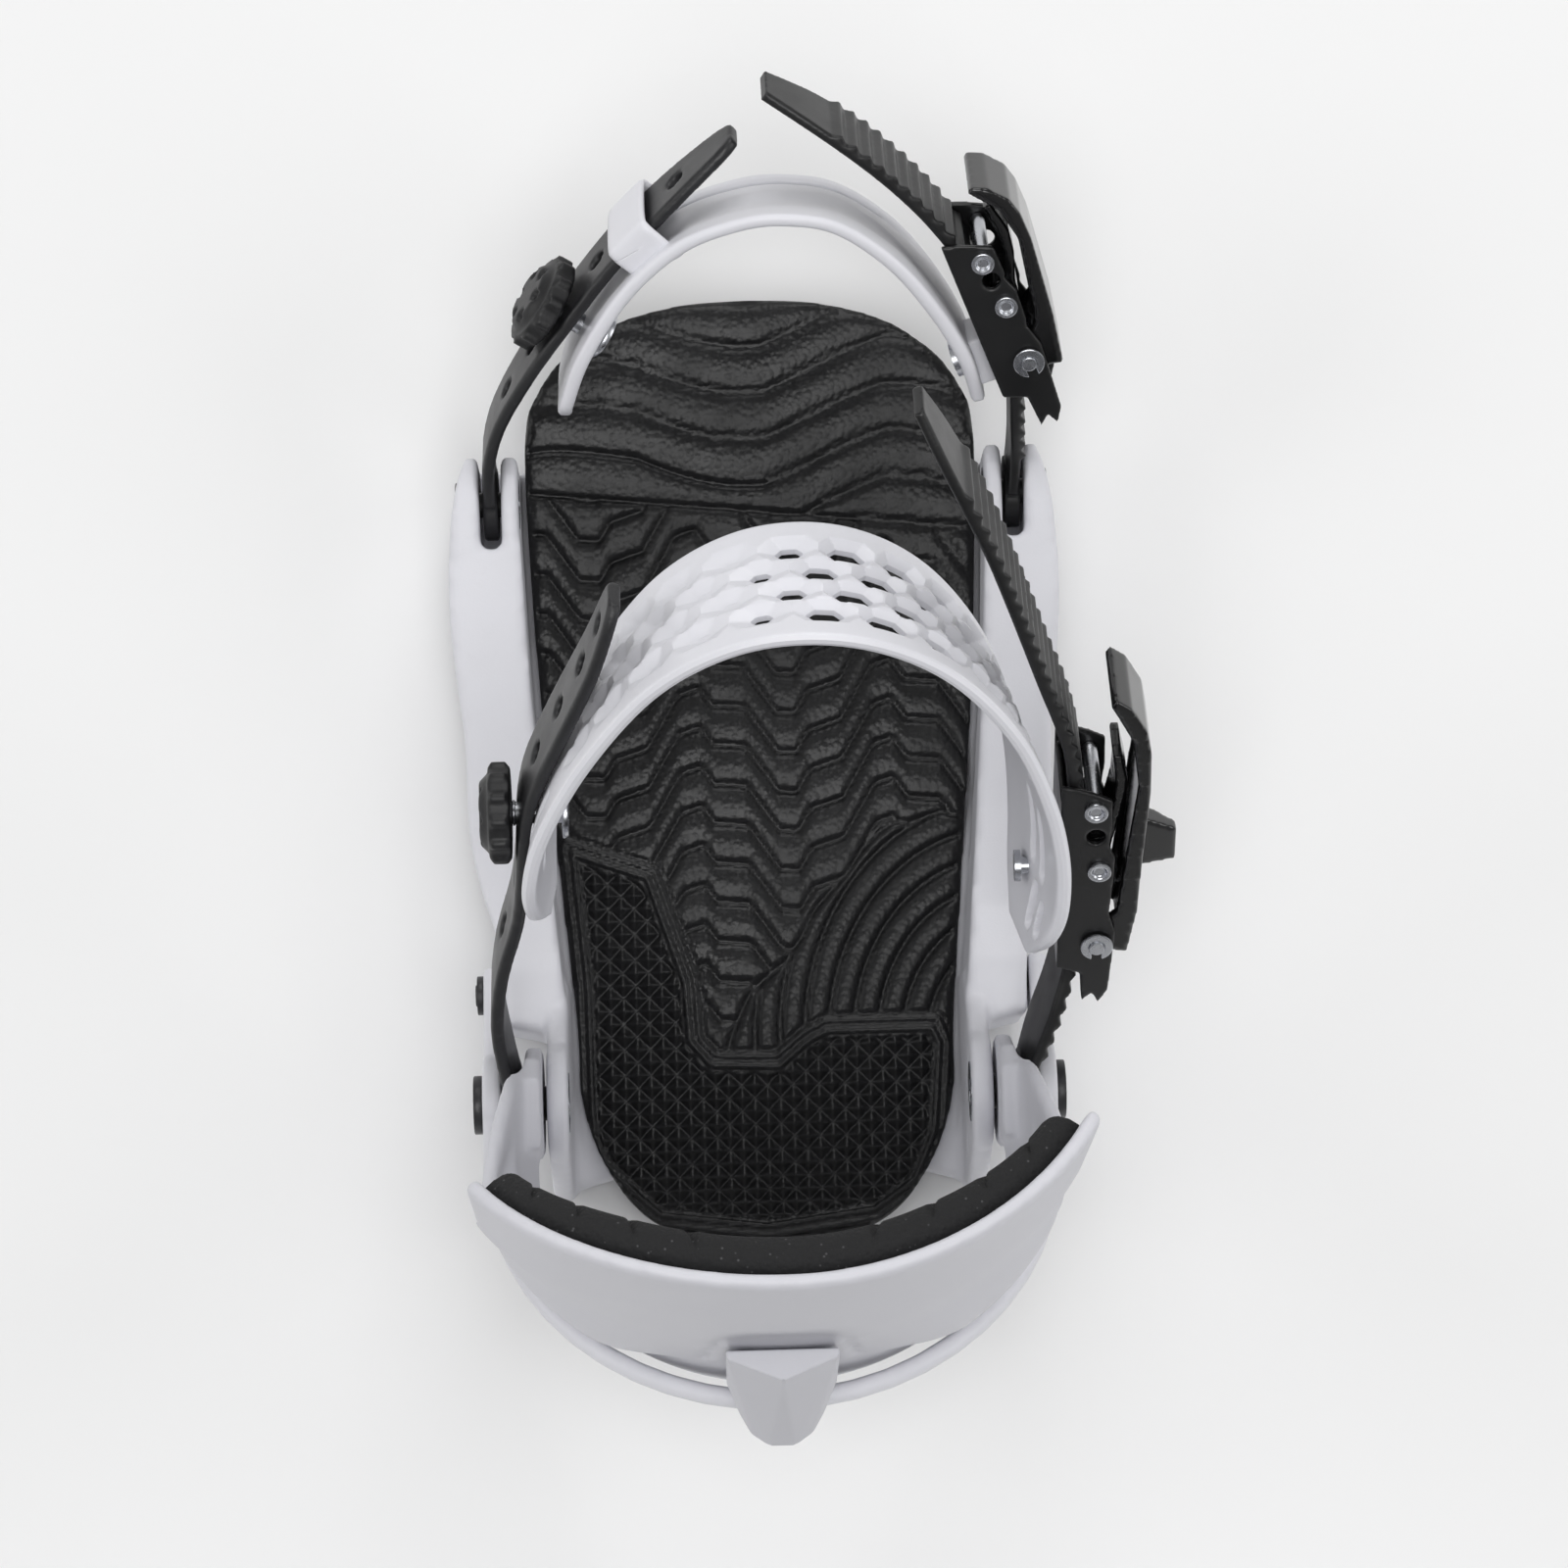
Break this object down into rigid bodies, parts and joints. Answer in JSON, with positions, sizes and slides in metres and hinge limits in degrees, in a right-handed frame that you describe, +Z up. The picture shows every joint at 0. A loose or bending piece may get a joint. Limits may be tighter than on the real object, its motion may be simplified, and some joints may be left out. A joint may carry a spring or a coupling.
{
  "type": "snowboard binding",
  "caption": "Right-foot strap-in snowboard binding: base with turning mounting disc, padded highback on a heel hoop, ankle and toe straps with ratchet buckles.",
  "frame": {"origin": "centre of the mounting disc on its underside, where it meets the board", "axes": "+X to the rider's right, +Y towards the toes, +Z up from the board"},
  "size_m": [0.166, 0.3127, 0.235],
  "materials": {
    "base_nylon": "fine moulded texture, white glass-filled nylon",
    "strap_tpu": "satin white moulded TPU",
    "hoop_nylon": "satin white glass-filled nylon",
    "highback_nylon": "satin white nylon",
    "highback_foam": "grainy black EVA foam",
    "footbed_eva": "embossed black EVA footbed",
    "base_foam": "black EVA pads",
    "disc_nylon": "black glass-filled nylon",
    "connector_tpu": "dark grey TPU strap",
    "ladder_nylon": "black moulded nylon ladder",
    "buckle_frame": "black anodised aluminium",
    "buckle_lever": "glossy black nylon",
    "knob_nylon": "black ribbed nylon",
    "steel": "zinc-plated steel",
    "black_steel": "black coated steel"
  },
  "bodies": {
    "base": {"base_chassis": "base_nylon", "base_pads": "base_foam", "footbed_pin": "steel", "heel_hoop": "hoop_nylon", "hoop_screws": "black_steel", "pivot_bolts": "black_steel", "pivot_nuts": "steel", "toe_bolts": "black_steel", "toe_nuts": "steel"},
    "disc": {"mounting_disc": "disc_nylon"},
    "footbed": {"footbed": "footbed_eva"},
    "highback": {"highback": "highback_nylon", "highback_pad": "highback_foam"},
    "lean_block": {"lean_block": "highback_nylon", "lean_screw": "steel"},
    "ankle_strap": {"ankle_strap": "strap_tpu", "ankle_connector": "connector_tpu", "ankle_ladder": "ladder_nylon", "ankle_knob_screw": "steel", "ankle_frame": "buckle_frame", "ankle_lever_axle": "steel", "ankle_pawl_axle": "steel", "ankle_spring": "steel", "ankle_rivet": "steel", "ankle_clip": "steel", "ankle_mount_screw": "steel"},
    "ankle_knob": {"ankle_knob": "knob_nylon"},
    "ankle_lever": {"ankle_lever": "buckle_lever"},
    "ankle_pawl": {"ankle_pawl": "buckle_lever"},
    "toe_strap": {"toe_strap": "strap_tpu", "toe_connector": "connector_tpu", "toe_ladder": "ladder_nylon", "toe_knob_screw": "steel", "toe_frame": "buckle_frame", "toe_lever_axle": "steel", "toe_pawl_axle": "steel", "toe_spring": "steel", "toe_rivet": "steel", "toe_clip": "steel", "toe_mount_screw": "steel"},
    "toe_knob": {"toe_knob": "knob_nylon"},
    "toe_lever": {"toe_lever": "buckle_lever"},
    "toe_pawl": {"toe_pawl": "buckle_lever"}
  },
  "joints": [
    {"name": "stance_turn", "type": "hinge", "parent": "base", "child": "disc", "pos_m": [0, 0, 0], "axis": [0, 0, 1], "range_deg": [-90, 90]},
    {"name": "footbed_lift", "type": "hinge", "parent": "base", "child": "footbed", "pos_m": [0, 0.09, 0.0065], "axis": [-1, 0, 0], "range_deg": [0, 20]},
    {"name": "highback_fold", "type": "hinge", "parent": "base", "child": "highback", "pos_m": [0, -0.079, 0.048], "axis": [-1, 0, 0], "range_deg": [0, 28]},
    {"name": "lean_slide", "type": "slide", "parent": "highback", "child": "lean_block", "axis": [0, 0.0972, 0.9953], "range_m": [0, 0.01]},
    {"name": "ankle_swing", "type": "hinge", "parent": "base", "child": "ankle_strap", "pos_m": [0, -0.079, 0.048], "axis": [-1, 0, 0], "range_deg": [-8, 24]},
    {"name": "ankle_knob_turn", "type": "hinge", "parent": "ankle_strap", "child": "ankle_knob", "pos_m": [-0.0566, -0.01744, 0.10292], "axis": [-1, 0, 0], "continuous": true},
    {"name": "ankle_lever_open", "type": "hinge", "parent": "ankle_strap", "child": "ankle_lever", "pos_m": [0.0744, -0.04033, 0.0775], "axis": [0, 0.7431, -0.6691], "range_deg": [0, 80]},
    {"name": "ankle_pawl_press", "type": "hinge", "parent": "ankle_strap", "child": "ankle_pawl", "pos_m": [0.0744, -0.02534, 0.09415], "axis": [0, -0.7431, 0.6691], "range_deg": [0, 7], "stiffness_Nm_per_rad": 0.1, "springref_deg": -8.59},
    {"name": "toe_swing", "type": "hinge", "parent": "base", "child": "toe_strap", "pos_m": [0, 0.066, 0.026], "axis": [-1, 0, 0], "range_deg": [-12, 15]},
    {"name": "toe_knob_turn", "type": "hinge", "parent": "toe_strap", "child": "toe_knob", "pos_m": [-0.0456, 0.10593, 0.06211], "axis": [-0.829, 0.4284, 0.3594], "continuous": true},
    {"name": "toe_lever_open", "type": "hinge", "parent": "toe_strap", "child": "toe_lever", "pos_m": [0.0652, 0.09742, 0.05498], "axis": [0, 0.6428, -0.766], "range_deg": [0, 80]},
    {"name": "toe_pawl_press", "type": "hinge", "parent": "toe_strap", "child": "toe_pawl", "pos_m": [0.05979, 0.10863, 0.06438], "axis": [0, -0.6428, 0.766], "range_deg": [0, 7], "stiffness_Nm_per_rad": 0.1, "springref_deg": -8.59}
  ]
}
